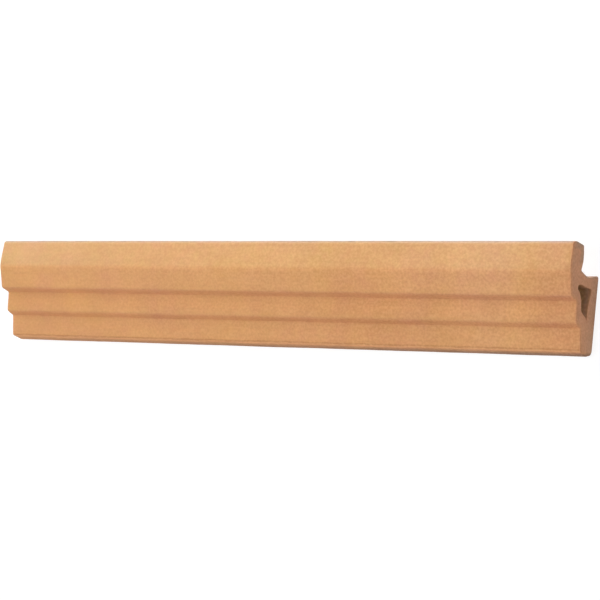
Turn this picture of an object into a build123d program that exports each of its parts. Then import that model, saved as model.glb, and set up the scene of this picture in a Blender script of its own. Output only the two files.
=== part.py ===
"""Moulding tile in extruded terracotta: one hollow fired-clay section, square cut to length.

The section is drawn upright, as the tile stands on a wall. Depth runs back from the foremost arris,
and height runs up from the foot. The drawing plane leans by the taper of the back, so the finished
tile lies on its flat back with the moulded face up, its length along X and its lip towards +Y.
The origin is the middle of the back face.
"""

import os
from math import cos, radians, sin, tan

from build123d import *

TILE_LENGTH = 600.0

# Moulded face, from the foot up: a bevel, three fascias parted by two splayed steps, a leaning crown
FOOT_BEVEL_HEIGHT = 4.4
FOOT_BEVEL_DEPTH = 11.8
LOW_FASCIA_HEIGHT = 18.9
LOW_STEP_HEIGHT = 4.0
LOW_STEP_DEPTH = 8.1
MID_FASCIA_HEIGHT = 17.9
MID_FASCIA_LEAN = 1.9
HIGH_STEP_HEIGHT = 4.4
HIGH_STEP_DEPTH = 9.5
HIGH_FASCIA_HEIGHT = 20.8
HIGH_FASCIA_LEAN = 2.3
CROWN_HEIGHT = 22.8
CROWN_LEAN = 6.1

# Flat foot, and the back that leans out from the heel up to the ledge
FOOT_WIDTH = 8.3
BACK_TAPER = 11.0
LEDGE_HEIGHT = 64.2

# Rebate behind the lip: a ledge, a splay up to the throat, an undercut and the lip's bevelled top
LIP_THICKNESS = 24.8
LIP_BACK_HEIGHT = 10.9
LIP_BEVEL_HEIGHT = 3.2
LIP_BEVEL_DEPTH = 12.0
THROAT_THICKNESS = 20.3
SPLAY_HEIGHT = 5.5
SPLAY_DEPTH = 10.8

# Open cell along the whole tile: a wedge hung under the ledge, its crown lobe reaching into the lip's root
CELL_FRONT_WALL = 8.2
CELL_ROOF_WALL = 10.0
CELL_ROOF_FALL = 4.9
CELL_BACK_WALL = 10.7
CELL_LOW_BACK_WALL = 14.1
CELL_CROWN_DEPTH = 11.9
CELL_CROWN_DROP = 12.5
CELL_HEIGHT = 24.4
CELL_TIP_RISE = 7.1

# Rounding of the section's corners
FACE_ARRIS_RADIUS = 3.0
FACE_FILLET_RADIUS = 2.0
FOREMOST_ARRIS_RADIUS = 12.0
FOOT_ARRIS_RADIUS = 2.0
HEEL_RADIUS = 4.5
LEDGE_ARRIS_RADIUS = 2.0
REBATE_FILLET_RADIUS = 1.2
LIP_TOP_RADIUS = 3.4
LIP_BACK_RADIUS = 3.0
LIP_CORNER_RADIUS = 1.8
CELL_CROWN_RADIUS = 2.5
CELL_CORNER_RADIUS = 1.5
CELL_FRONT_RADIUS = 4.0

# Heights of the face's corners above the foot
low_fascia_top = FOOT_BEVEL_HEIGHT + LOW_FASCIA_HEIGHT
mid_fascia_foot = low_fascia_top + LOW_STEP_HEIGHT
mid_fascia_top = mid_fascia_foot + MID_FASCIA_HEIGHT
high_fascia_foot = mid_fascia_top + HIGH_STEP_HEIGHT
foremost_arris = high_fascia_foot + HIGH_FASCIA_HEIGHT
tile_top = foremost_arris + CROWN_HEIGHT

# Depths of the face's corners behind the foremost arris
mid_top_depth = HIGH_FASCIA_LEAN + HIGH_STEP_DEPTH
mid_foot_depth = mid_top_depth - MID_FASCIA_LEAN
low_depth = mid_foot_depth + LOW_STEP_DEPTH
foot_depth = low_depth + FOOT_BEVEL_DEPTH
heel_depth = foot_depth + FOOT_WIDTH

# The back's line, which the ledge and the cell's rear wall follow
taper = radians(BACK_TAPER)
ledge_depth = heel_depth + LEDGE_HEIGHT * tan(taper)

# Rebate corners
throat_height = LEDGE_HEIGHT + SPLAY_HEIGHT
splay_depth = THROAT_THICKNESS + SPLAY_DEPTH
lip_back_top = tile_top - LIP_BEVEL_HEIGHT
lip_back_foot = lip_back_top - LIP_BACK_HEIGHT
lip_bevel_depth = LIP_THICKNESS - LIP_BEVEL_DEPTH

# Cell corners, from the roof down
cell_roof = LEDGE_HEIGHT - CELL_ROOF_WALL
cell_crown = cell_roof + CELL_ROOF_FALL
cell_front_top = cell_crown - CELL_CROWN_DROP
cell_tip = cell_roof - CELL_HEIGHT
cell_front_foot = cell_tip + CELL_TIP_RISE
cell_front_depth = mid_top_depth + CELL_FRONT_WALL
cell_rear_depth = heel_depth + cell_roof * tan(taper) - CELL_BACK_WALL
cell_tip_depth = heel_depth + cell_tip * tan(taper) - CELL_LOW_BACK_WALL

# Outer outline: down the face, along the foot, up the back, and round the rebate and the lip
outline = [
    (CROWN_LEAN, tile_top, LIP_TOP_RADIUS),
    (0, foremost_arris, FOREMOST_ARRIS_RADIUS),
    (HIGH_FASCIA_LEAN, high_fascia_foot, FACE_ARRIS_RADIUS),
    (mid_top_depth, mid_fascia_top, FACE_FILLET_RADIUS),
    (mid_foot_depth, mid_fascia_foot, FACE_ARRIS_RADIUS),
    (low_depth, low_fascia_top, FACE_FILLET_RADIUS),
    (low_depth, FOOT_BEVEL_HEIGHT, FOOT_ARRIS_RADIUS),
    (foot_depth, 0, FOOT_ARRIS_RADIUS),
    (heel_depth, 0, HEEL_RADIUS),
    (ledge_depth, LEDGE_HEIGHT, LEDGE_ARRIS_RADIUS),
    (splay_depth, LEDGE_HEIGHT, REBATE_FILLET_RADIUS),
    (THROAT_THICKNESS, throat_height, REBATE_FILLET_RADIUS),
    (LIP_THICKNESS, lip_back_foot, LIP_BACK_RADIUS),
    (LIP_THICKNESS, lip_back_top, LIP_CORNER_RADIUS),
    (lip_bevel_depth, tile_top, LIP_BACK_RADIUS),
]

# Cell outline: from the crown lobe down the front wall to the tip, and up the rear wall to the roof
cell = [
    (CELL_CROWN_DEPTH, cell_crown, CELL_CROWN_RADIUS),
    (cell_front_depth, cell_front_top, CELL_FRONT_RADIUS),
    (cell_front_depth, cell_front_foot, CELL_FRONT_RADIUS),
    (cell_tip_depth, cell_tip, CELL_CORNER_RADIUS),
    (cell_rear_depth, cell_roof, CELL_CORNER_RADIUS),
]

# The drawing plane at mid-length, leaning so that the back's middle lies at the origin
back_mid_height = LEDGE_HEIGHT / 2
back_mid_depth = heel_depth + back_mid_height * tan(taper)
section_plane = Plane(
    origin=(
        0,
        -back_mid_depth * sin(taper) - back_mid_height * cos(taper),
        back_mid_depth * cos(taper) - back_mid_height * sin(taper),
    ),
    x_dir=(0, sin(taper), -cos(taper)),
    z_dir=(1, 0, 0),
)

with BuildPart() as moulding_tile:
    with BuildSketch(section_plane):
        with BuildLine():
            FilletPolyline(
                [(depth, height) for depth, height, radius in outline],
                radius=[radius for depth, height, radius in outline],
                close=True,
            )
        make_face()
        with BuildLine():
            FilletPolyline(
                [(depth, height) for depth, height, radius in cell],
                radius=[radius for depth, height, radius in cell],
                close=True,
            )
        make_face(mode=Mode.SUBTRACT)
    extrude(amount=TILE_LENGTH / 2, both=True)

moulding_tile.part.label = "moulding_tile"
os.makedirs("parts", exist_ok=True)
export_step(moulding_tile.part, "parts/moulding_tile.step")
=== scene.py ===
import math

import bmesh
import bpy
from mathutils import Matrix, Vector
from mathutils.kdtree import KDTree


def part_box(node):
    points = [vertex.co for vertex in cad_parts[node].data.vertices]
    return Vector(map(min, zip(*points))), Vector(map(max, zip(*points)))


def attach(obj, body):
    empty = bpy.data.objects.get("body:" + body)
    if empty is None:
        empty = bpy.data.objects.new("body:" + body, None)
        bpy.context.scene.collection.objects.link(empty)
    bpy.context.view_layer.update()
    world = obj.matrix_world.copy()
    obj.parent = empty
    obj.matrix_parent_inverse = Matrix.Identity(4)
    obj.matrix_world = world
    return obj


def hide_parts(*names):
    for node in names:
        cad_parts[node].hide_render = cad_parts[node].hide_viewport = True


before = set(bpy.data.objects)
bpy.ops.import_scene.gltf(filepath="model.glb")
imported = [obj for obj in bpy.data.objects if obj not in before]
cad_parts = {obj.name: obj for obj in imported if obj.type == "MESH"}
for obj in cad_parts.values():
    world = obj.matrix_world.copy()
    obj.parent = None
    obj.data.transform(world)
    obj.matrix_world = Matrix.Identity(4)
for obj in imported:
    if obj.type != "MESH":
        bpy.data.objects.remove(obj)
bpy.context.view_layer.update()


# Fired tile.
# The whole part is one length of stiff clay pushed through a die, wire-cut square at both ends, dried
# and fired to a buff terracotta. It comes off the belt a little uneven, with handled, softened arrises.
half_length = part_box("moulding_tile")[1].x
hair = 1e-5
skin_pitch = 0.0017
cut_pitch = 0.0020
span_cuts = (9, 23)
cell_tip = (-0.00475, 0.01430)
slit_end = (-0.00843, 0.01437)
arris_rounds = {-1: 0.0004, 1: 0.0007}
arris_bands = ((0.500, 0.134), (0.366, 0.366), (0.134, 0.500))


def pick(kind, holds):
    """Selects, in the mesh being edited, only the verts, edges or faces for which holds(it) is true."""
    bpy.ops.mesh.select_mode(type=kind)
    bpy.ops.mesh.select_all(action="DESELECT")
    clay = bmesh.from_edit_mesh(bpy.context.object.data)
    for it in {"VERT": clay.verts, "EDGE": clay.edges, "FACE": clay.faces}[kind]:
        if holds(it):
            it.select_set(True)
    clay.select_flush_mode()
    bmesh.update_edit_mesh(bpy.context.object.data)


def along(edge):
    """True for an edge that runs with the tile's length."""
    a, b = edge.verts
    return abs(a.co.x - b.co.x) > 0.99 * edge.calc_length()


def from_spot(vert, spot):
    """How far a corner is from a spot on the section, given as (Y, Z)."""
    return math.hypot(vert.co.y - spot[0], vert.co.z - spot[1])


def press(push, reach):
    """Pushes the picked corners, and the clay round them less and less, as a thumb does."""
    bpy.ops.transform.translate(
        value=push, use_proportional_edit=True, use_proportional_connected=True,
        proportional_edit_falloff="SMOOTH", proportional_size=reach,
    )


tile = bpy.data.objects.new("fired_tile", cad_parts["moulding_tile"].data.copy())
bpy.context.collection.objects.link(tile)
bpy.ops.object.select_all(action="DESELECT")
tile.select_set(True)
bpy.context.view_layer.objects.active = tile
bpy.ops.object.mode_set(mode="EDIT")
bpy.ops.mesh.select_all(action="SELECT")
bpy.ops.mesh.remove_doubles(threshold=1e-6)
bpy.ops.mesh.customdata_custom_splitnormals_clear()
bpy.ops.mesh.dissolve_limited(angle_limit=math.radians(0.3))

# the two cut faces come off, to be closed again once the skin is divided
pick("FACE", lambda face: abs(face.normal.x) > 0.9)
bpy.ops.mesh.delete(type="FACE")

# the cell's tip tears a little further into the clay, as a narrow slit
corners = bmesh.from_edit_mesh(tile.data).verts
tip_ends = sorted(corners, key=lambda vert: from_spot(vert, cell_tip))[:2]
tip_places = [(vert.co.y, vert.co.z) for vert in tip_ends]
pick("VERT", lambda vert: (vert.co.y, vert.co.z) in tip_places)
tip_y, tip_z = tip_places[0]
bpy.ops.transform.translate(value=(0, slit_end[0] - tip_y, slit_end[1] - tip_z))

# the skin is divided round the section, the longest edges first
for cuts in range(40, 0, -1):
    pick("EDGE", lambda edge: not along(edge) and math.ceil(edge.calc_length() / skin_pitch) - 1 == cuts)
    bpy.ops.mesh.subdivide(number_cuts=cuts)

# the die wore unevenly: each worn place has its spot on the section, its push and how far that reaches
worn_spot = 0.0013
die_wear = {
    "fuller_lobe": ((0.02009, 0.02768), (0, 0.00069, 0.00013), 0.0040),
    "tighter_neck": ((0.01362, 0.03162), (0, 0.00025, -0.00128), 0.0045),
    "bellied_rear_wall": ((0.00563, 0.01244), (0, -0.00025, 0.00128), 0.0100),
    "tipped_ledge": ((0.03190, 0.00300), (0, 0.00054, 0.00010), 0.0085),
    "softer_lip_back": ((0.04170, 0.02830), (0, -0.00010, 0.00050), 0.0035),
    "lower_foremost_arris": ((0.02917, 0.05064), (0, -0.00083, -0.00016), 0.0090),
    "rounder_middle_arris": ((-0.01128, 0.03250), (0, 0.00032, -0.00018), 0.0040),
}
for spot, push, reach in die_wear.values():
    pick("VERT", lambda vert: from_spot(vert, spot) < worn_spot)
    press(push, reach)

# each end is drawn back by the arris, which is then rolled over in three narrow bands
for side, arris_round in arris_rounds.items():
    pick("VERT", lambda vert: vert.co.x * side > half_length - hair)
    bpy.ops.transform.translate(value=(-side * arris_round, 0, 0))
    for out, narrower in arris_bands:
        pick("EDGE", lambda edge: edge.is_boundary and edge.verts[0].co.x * side > 0)
        bpy.ops.mesh.extrude_edges_move(TRANSFORM_OT_translate={"value": (side * out * arris_round, 0, 0)})
        bpy.ops.transform.shrink_fatten(value=-narrower * arris_round)
    pick("EDGE", lambda edge: edge.is_boundary and edge.verts[0].co.x * side > 0)
    bpy.ops.mesh.fill(use_beauty=True)

    # the fill's long thin faces are halved until the cut face has an even net
    for halving in range(6):
        pick("EDGE", lambda edge: not edge.is_boundary and edge.calc_length() > 1.6 * cut_pitch
             and all(face.normal.x * side > 0.999 for face in edge.link_faces))
        bpy.ops.mesh.subdivide(number_cuts=1)
        pick("FACE", lambda face: face.normal.x * side > 0.999)
        bpy.ops.mesh.quads_convert_to_tris(quad_method="BEAUTY", ngon_method="BEAUTY")
        bpy.ops.mesh.beautify_fill()

# the skin is divided along the length, in two steps
for cuts in span_cuts:
    pick("EDGE", lambda edge: along(edge) and edge.calc_length() > 2 * skin_pitch)
    bpy.ops.mesh.subdivide(number_cuts=cuts)
bpy.ops.mesh.select_all(action="SELECT")
bpy.ops.mesh.normals_make_consistent(inside=False)

# while the clay was still green, the foremost corner and the heel of the right end were knocked soft,
# and the wire drew the crown out a little at the left end
knocked_spot = 0.0030
knocked_depth = 0.0012
knocks = {
    "right_foremost_corner": (1, (0.02550, 0.04950), (0, 0.00017, -0.00088), 0.009),
    "right_heel": (1, (-0.03320, 0.00280), (0, 0.00036, 0.00028), 0.004),
    "left_crown": (-1, (0.03500, 0.05050), (0, -0.00009, 0.00046), 0.010),
}
for side, spot, push, reach in knocks.values():
    pick("VERT", lambda vert: vert.co.x * side > half_length - knocked_depth
         and from_spot(vert, spot) < knocked_spot)
    press(push, reach)
bpy.ops.object.mode_set(mode="OBJECT")


def in_cell(point):
    """True for a point on the cell's wall: no other clay lies in this box with its sloping top."""
    return -0.0098 < point.y < 0.0235 and 0.006 < point.z < 0.0295 + 0.45 * point.y


def share(value):
    """Keeps a share between none and all."""
    return min(1.0, max(0.0, value))


# the cell's wall is marked, so that its clay can be painted darker than the outside, as the shade inside
# it
mouth_edge = 0.0003
mouth_fade = 0.001
cell_wall = tile.data.attributes.new("cell_wall", "FLOAT", "POINT")
for vert in tile.data.vertices:
    depth = half_length - mouth_edge - abs(vert.co.x)
    cell_wall.data[vert.index].value = share(depth / mouth_fade) if in_cell(vert.co) else 0.0

# so is a narrow rim round each cut face, where the wire smeared the skin over and hands left their dirt
rim_depth = 0.0008
rim_width = 0.0065
rim_line = [
    vert.co.copy() for vert in tile.data.vertices
    if half_length - rim_depth < abs(vert.co.x) < half_length - hair and not in_cell(vert.co)
]
nearby = KDTree(len(rim_line))
for number, point in enumerate(rim_line):
    nearby.insert(point, number)
nearby.balance()
cut_rim = tile.data.attributes.new("cut_rim", "FLOAT", "POINT")
for vert in tile.data.vertices:
    if abs(vert.co.x) > half_length - rim_width:
        cut_rim.data[vert.index].value = max(0.0, 1.0 - nearby.find(vert.co)[2] / rim_width)

# the bed stays flat, and lets the clay go just above it
bed_flat = 0.0006
bed_ease = 0.004
free_clay = tile.vertex_groups.new(name="free_clay")
for vert in tile.data.vertices:
    free_clay.add([vert.index], share((vert.co.z - bed_flat) / bed_ease), "REPLACE")

# elsewhere the clay has its own unevenness: long slow swells, drag along the die, and a sandy skin
drag_stretch = 14
bpy.ops.object.empty_add(type="PLAIN_AXES", location=(0.011, 0.007, 0.003))
drag_guide = bpy.context.object
drag_guide.scale = (drag_stretch, 1, 1)
bpy.context.view_layer.update()
bpy.ops.object.select_all(action="DESELECT")
tile.select_set(True)
bpy.context.view_layer.objects.active = tile
for name, lump, fineness, depth, guide in (
    ("swell", 0.060, 1, 0.0004, None),
    ("die_drag", 0.005, 2, 0.00016, drag_guide),
    ("sandy_skin", 0.0045, 2, 0.00022, None),
):
    unevenness = bpy.data.textures.new(name, type="CLOUDS")
    unevenness.noise_scale = lump
    unevenness.noise_depth = fineness
    bpy.ops.object.modifier_add(type="DISPLACE")
    relief = tile.modifiers[-1]
    relief.name = name
    relief.texture = unevenness
    relief.texture_coords = "OBJECT" if guide else "LOCAL"
    relief.texture_coords_object = guide
    relief.vertex_group = "free_clay"
    relief.mid_level = 0.5
    relief.strength = depth
    bpy.ops.object.modifier_apply(modifier=name)
bpy.data.objects.remove(drag_guide)
bpy.ops.object.shade_smooth()

clay = bpy.data.materials.new("fired_clay")
clay.use_nodes = True
nodes, links = clay.node_tree.nodes, clay.node_tree.links
shader = nodes["Principled BSDF"]


def node(kind, sockets, **settings):
    """Adds a node to the material in hand. A socket gets a value, or the output that feeds it."""
    made = nodes.new("ShaderNode" + kind)
    for name, value in settings.items():
        setattr(made, name, value)
    for name, value in sockets.items():
        if isinstance(value, bpy.types.NodeSocket):
            links.new(value, made.inputs[name])
        else:
            made.inputs[name].default_value = value
    return made


def noise(where, scale, detail=2.0):
    """A cloudy pattern from 0 to 1, in patches of about 1 / scale metres."""
    return node("TexNoise", {"Vector": where, "Scale": scale, "Detail": detail}).outputs[0]


def spread(value, low, high, to_low=0.0, to_high=1.0, **settings):
    """Stretches a value from one range to another."""
    ends = {"Value": value, "From Min": low, "From Max": high, "To Min": to_low, "To Max": to_high}
    return node("MapRange", ends, **settings).outputs["Result"]


def ease(value, low, high, to_low=0.0, to_high=1.0):
    """Stretches a value as spread does, but slowly at both ends."""
    return spread(value, low, high, to_low, to_high, interpolation_type="SMOOTHSTEP")


def blend(factor, first, second):
    """Mixes two clays by a mask."""
    return node("Mix", {0: factor, 6: first, 7: second}, data_type="RGBA").outputs[2]


def tint(factor, clay_colour, by):
    """Multiplies a clay by a colour where a mask is, for stains and for painted light and shade."""
    stain = {0: factor, 6: clay_colour, 7: by}
    return node("Mix", stain, data_type="RGBA", blend_type="MULTIPLY").outputs[2]


def times(first, second):
    """Multiplies two values."""
    return node("Math", {0: first, 1: second}, operation="MULTIPLY").outputs[0]


def add(first, second):
    """Adds two values."""
    return node("Math", {0: first, 1: second}, operation="ADD").outputs[0]


def away(value, middle):
    """How far a value is from a middle one, to either side."""
    return node("Math", {0: add(value, -middle)}, operation="ABSOLUTE").outputs[0]


def measured(vector, direction):
    """How far a vector goes in a direction."""
    return node("VectorMath", {0: vector, 1: direction}, operation="DOT_PRODUCT").outputs["Value"]


# on a wall the tile stands upright on its foot, so the section leans here by the taper of its back
taper = math.radians(11)
upward = (0, math.cos(taper), math.sin(taper))
inward = (0, math.sin(taper), -math.cos(taper))
place = node("TexCoord", {}).outputs["Object"]
apart = node("SeparateXYZ", {"Vector": place}).outputs
along_x, up_z = apart["X"], apart["Z"]
from_foot = measured(place, upward)
from_face = measured(place, inward)
from_end = node("Math", {0: half_length, 1: away(along_x, 0.0)}, operation="SUBTRACT").outputs[0]
facing = node("NewGeometry", {}).outputs["Normal"]

# body: buff clay that the kiln flashed pinker in broad patches, with paler thumb-sized clouds in it
buff = (0.720, 0.371, 0.142, 1)
flashed = (0.705, 0.338, 0.161, 1)
clouded = (0.720, 0.365, 0.154, 1)
flash = noise(place, 22.0, 3.0)
patch = noise(place, 75.0, 3.0)
skin = blend(spread(flash, 0.35, 0.65), buff, flashed)
skin = blend(spread(patch, 0.30, 0.70), skin, clouded)

# the leaning crown is painted a shade yellower, and paler to the left: a painted sheen from the lamp over
# it
crown = ease(from_foot, 0.0360, 0.0410)
skin = tint(crown, skin, (0.910, 0.988, 1.015, 1))
skin = tint(times(crown, spread(along_x, -0.28, -0.12, 1.0, 0.0)), skin, (0.965, 1.010, 1.110, 1))

# it blushed pink and yellow in spots as big as a pea, most on the crown
yellow_blush = (0.994, 1.022, 0.995, 1)
pink_blush = (1.006, 0.978, 1.005, 1)
blush = blend(spread(noise(place, 120.0), 0.34, 0.66), yellow_blush, pink_blush)
skin = tint(spread(crown, 0.0, 1.0, 0.50, 1.00), skin, blush)

# along its length the kiln left it deeper two hands from the right end, then paler, and redder at the end
skin = tint(ease(away(along_x, 0.100), 0.010, 0.060, 1.0, 0.0), skin, (0.985, 0.970, 0.940, 1))
skin = tint(ease(away(along_x, 0.222), 0.006, 0.050, 1.0, 0.0), skin, (1.015, 1.030, 1.110, 1))
skin = tint(ease(along_x, 0.245, 0.285), skin, (0.970, 0.932, 0.985, 1))

# slopes facing down are painted redder, standing in for the warm light bounced into them, the upper ones a
# little less
painted_underside_bounce = spread(measured(facing, [-part for part in upward]), 0.25, 0.85)
skin = tint(painted_underside_bounce, skin, (1.035, 0.980, 1.050, 1))
skin = tint(times(painted_underside_bounce, spread(from_foot, -0.002, 0.008)), skin, (1.030, 1.050, 1.080, 1))

# painted shade: the fascias are painted a little darker close under the steps
painted_shade_under_high = times(ease(from_foot, 0.0040, 0.0105), spread(from_foot, 0.0125, 0.0145, 1.0, 0.0))
painted_shade_under_low = times(ease(from_foot, -0.0190, -0.0105), spread(from_foot, -0.0098, -0.0080, 1.0, 0.0))
skin = tint(add(painted_shade_under_high, painted_shade_under_low), skin, (0.952, 0.965, 0.975, 1))

# the lip's front arris is painted pale, more so to the right: a painted highlight along the rounded top
# edge
lip_arris_highlight = times(ease(from_foot, 0.0585, 0.0605), spread(from_face, -0.0350, -0.0315, 1.0, 0.0))
skin = tint(lip_arris_highlight, skin, (0.820, 0.955, 1.290, 1))
skin = tint(times(lip_arris_highlight, spread(along_x, -0.200, 0.200)), skin, (1.110, 1.180, 1.320, 1))

# over it, a thin patchy line of darker brown is painted along the top edge
dark_crest_line = times(
    spread(add(from_foot, times(patch, 0.0008)), 0.0605, 0.0613),
    spread(add(from_face, times(patch, 0.0030)), -0.0352, -0.0325, 1.0, 0.0),
)
patchy = times(spread(patch, 0.34, 0.66, 0.66, 1.00), spread(along_x, -0.300, 0.300, 0.66, 1.00))
skin = tint(times(dark_crest_line, patchy), skin, (0.450, 0.425, 0.385, 1))

# the ledge behind the lip holds a little grey dust, most of it by the right end
ledge = times(spread(measured(facing, upward), 0.50, 0.80), spread(from_face, -0.0160, -0.0130))
dusty = ease(add(along_x, times(patch, 0.080)), 0.240, 0.335, 0.10, 1.00)
skin = tint(times(ledge, dusty), skin, (0.720, 1.090, 1.850, 1))

# the wire-cut ends show the pinker heart of the clay, greyer towards the bed
pink_heart = (0.748, 0.370, 0.213, 1)
brown_heart = (0.640, 0.325, 0.190, 1)
low_bed = (0.700, 0.403, 0.262, 1)
high_bed = (0.630, 0.362, 0.235, 1)
cut = ease(from_end, 0.0000, 0.0012, 1.0, 0.0)
bed_clay = blend(spread(from_foot, 0.0140, 0.0240), low_bed, high_bed)
heart = blend(spread(up_z, 0.002, 0.015), bed_clay, pink_heart)
heart = blend(spread(patch, 0.35, 0.65, 0.0, 0.5), heart, brown_heart)
heart = tint(ease(from_foot, -0.0140, 0.0060, 1.0, 0.0), heart, (1.115, 1.140, 1.120, 1))

# round the cut, skin is smeared over the face's edge, and the other edges are handled grey
smeared_skin = (0.775, 0.366, 0.180, 1)
rim = node("Attribute", {}, attribute_name="cut_rim").outputs["Fac"]
behind = spread(add(from_face, times(from_foot, 0.26)), -0.0222, -0.0162)
handled = times(ease(rim, 0.0, 0.45), spread(from_foot, 0.0410, 0.0460))
heart = tint(times(handled, behind), heart, (0.800, 0.920, 1.000, 1))
dusty_rim = times(spread(rim, 0.70, 0.95), spread(from_foot, 0.0290, 0.0310))
heart = tint(times(dusty_rim, behind), heart, (0.860, 1.000, 1.140, 1))
smear = times(spread(rim, 0.40, 0.95, 0.0, 0.80), spread(behind, 0.0, 1.0, 1.0, 0.0))
heart = blend(smear, heart, smeared_skin)
body = blend(cut, skin, heart)

# the cell's wall is painted browner and darker, darkest away from the mouths: painted shade inside the
# hollow, redder in its lobe
cell_mouth = (0.570, 0.338, 0.222, 1)
deep_cell_shade = (0.435, 0.256, 0.118, 1)
walled = node("Attribute", {}, attribute_name="cell_wall").outputs["Fac"]
cell_shade = blend(ease(from_end, 0.0015, 0.0080), cell_mouth, deep_cell_shade)
cell_shade = tint(spread(up_z, 0.0140, 0.0270), cell_shade, (0.980, 0.850, 0.620, 1))
body = blend(walled, body, cell_shade)

# painted shadow: the foot's edge is painted darker and greyer, more so to the right, as a contact shadow
# along the foot
foot_shadow_colour = (0.338, 0.206, 0.141, 1)
ragged = add(times(noise(place, 140.0), 0.0012), times(along_x, -0.0013))
foot_edge = add(from_foot, ragged)
painted_foot_shadow = ease(foot_edge, -0.0308, -0.0283, 1.0, 0.0)
painted_foot_shadow = times(painted_foot_shadow, spread(along_x, -0.28, 0.28, 0.30, 0.90))
painted_foot_shadow = times(painted_foot_shadow, spread(cut, 0.0, 1.0, 1.0, 0.82))
body = blend(painted_foot_shadow, body, foot_shadow_colour)

# over the foot, a pale band is painted on the arris as light bounced up onto it, under a thin line of
# painted shade, on the moulded face alone
bounce_lit_clay = (0.925, 0.470, 0.218, 1)
foot_shade_colour = (0.500, 0.212, 0.082, 1)
moulded = times(spread(from_face, -0.0208, -0.0190, 1.0, 0.0), spread(cut, 0.0, 1.0, 1.0, 0.0))
painted_foot_light = ease(away(foot_edge, -0.0276), 0.0002, 0.0012, 0.75, 0.0)
body = blend(times(painted_foot_light, moulded), body, bounce_lit_clay)
painted_foot_shade_line = ease(away(foot_edge, -0.0260), 0.0002, 0.0011, 0.55, 0.0)
body = blend(times(painted_foot_shade_line, moulded), body, foot_shade_colour)

# sand in the clay: redder and paler grains, and faint drag along the die
red_grain = (0.470, 0.200, 0.080, 1)
pale_grain = (0.930, 0.570, 0.300, 1)
grain = noise(place, 470.0)
sandy = times(spread(along_x, -0.30, 0.30, 0.50, 1.00), spread(crown, 0.0, 1.0, 1.0, 0.85))
body = blend(times(spread(grain, 0.52, 0.25, 0.0, 0.30), sandy), body, red_grain)
body = blend(times(spread(grain, 0.48, 0.75, 0.0, 0.28), sandy), body, pale_grain)
dragged = node("Mapping", {"Vector": place, "Scale": (0.06, 1.0, 1.0)}).outputs["Vector"]
streak = spread(noise(dragged, 420.0), 0.25, 0.75, 0.975, 1.025, clamp=False)
cloud = spread(noise(place, 34.0), 0.30, 0.70, 0.965, 1.035, clamp=False)
body = node("VectorMath", {0: body, "Scale": times(streak, cloud)}, operation="SCALE").outputs["Vector"]

links.new(body, shader.inputs["Base Color"])
links.new(spread(grain, 0.25, 0.75, 0.96, 0.82), shader.inputs["Roughness"])
shader.inputs["Specular IOR Level"].default_value = 0.2
sandy_bump = node("Bump", {"Strength": 0.5, "Distance": 0.0002, "Height": grain})
links.new(sandy_bump.outputs["Normal"], shader.inputs["Normal"])
tile.data.materials.clear()
tile.data.materials.append(clay)
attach(tile, "root")
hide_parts("moulding_tile")


# Floor.
# A plain matt white sheet that the tile lies on, wide enough to fill every view. It shows white, and a
# little greyer near the tile, while the light that it gives back to the tile is that of matt paper.
sheet_width = 16
sheet_drop = 0.0002
bpy.ops.mesh.primitive_plane_add(size=sheet_width, location=(0, 0, -sheet_drop))
floor = bpy.context.object
floor.name = "floor"
bpy.ops.object.transform_apply(location=True, rotation=True, scale=True)
sheet = bpy.data.materials.new("white_sheet")
sheet.use_nodes = True
nodes, links = sheet.node_tree.nodes, sheet.node_tree.links
nodes.clear()


def seen():
    """1 for what the camera sees, straight, in gloss or through glass, and 0 for light that bounces."""
    ray = node("LightPath", {}).outputs
    straight_or_glossy = {0: ray["Is Camera Ray"], 1: ray["Is Glossy Ray"]}
    first_two = node("Math", straight_or_glossy, operation="MAXIMUM").outputs[0]
    return node("Math", {0: first_two, 1: ray["Is Transmission Ray"]}, operation="MAXIMUM").outputs[0]


matt = node("BsdfDiffuse", {"Color": (0.7, 0.7, 0.7, 1)}).outputs[0]
veil = node("BsdfDiffuse", {"Color": (0.2, 0.2, 0.2, 1)}).outputs[0]
on_sheet = node("TexCoord", {}).outputs["Object"]
from_middle = node("VectorMath", {0: on_sheet}, operation="LENGTH").outputs["Value"]
whiteness = spread(from_middle, 0.7, 2.2, 0.86, 1.0)
glow = node("Emission", {"Color": (1, 1, 1, 1), "Strength": whiteness}).outputs[0]
shown = node("AddShader", {0: glow, 1: veil}).outputs[0]
surface = node("MixShader", {0: seen(), 1: matt, 2: shown}).outputs[0]
node("OutputMaterial", {"Surface": surface})
floor.data.materials.append(sheet)


# Light and camera.
# A soft lamp over the tile's top edge, one before its face, weaker ones high and low to the left and to
# the right, and a little light from the room.
lamp_size = 1.0


def lamp(name, stand, power):
    """Adds a square soft lamp that looks at the tile."""
    bpy.ops.object.light_add(type="AREA", location=stand)
    made = bpy.context.object
    made.name = name
    made.data.shape = "SQUARE"
    made.data.size = lamp_size
    made.data.energy = power
    made.rotation_euler = (-Vector(stand)).to_track_quat("-Z", "Y").to_euler()


lamp("over", (-0.331, 2.090, 0.601), 44.5)
lamp("front", (0.0, -0.420, 2.160), 22.0)
lamp("high_left", (-1.459, 0.846, 1.412), 14.2)
lamp("low_left", (-1.459, -1.313, 0.992), 11.3)
lamp("right", (1.685, -0.270, 1.388), 10.0)

room = bpy.data.worlds.new("room")
bpy.context.scene.world = room
room.use_nodes = True
nodes, links = room.node_tree.nodes, room.node_tree.links
nodes.clear()
dim = node("Background", {"Color": (1, 1, 1, 1), "Strength": 0.03}).outputs[0]
white = node("Background", {"Color": (1, 1, 1, 1), "Strength": 1.0}).outputs[0]
surface = node("MixShader", {0: seen(), 1: dim, 2: white}).outputs[0]
node("OutputWorld", {"Surface": surface})

bpy.ops.object.camera_add(
    location=(1.14075, -0.26357, 1.64769),
    rotation=[math.radians(turn) for turn in (11.9617, 33.3836, 7.4870)],
)
camera = bpy.context.object
camera.data.lens = 137.18
camera.data.sensor_width = 36
bpy.context.scene.camera = camera
bpy.context.scene.view_settings.view_transform = "Standard"
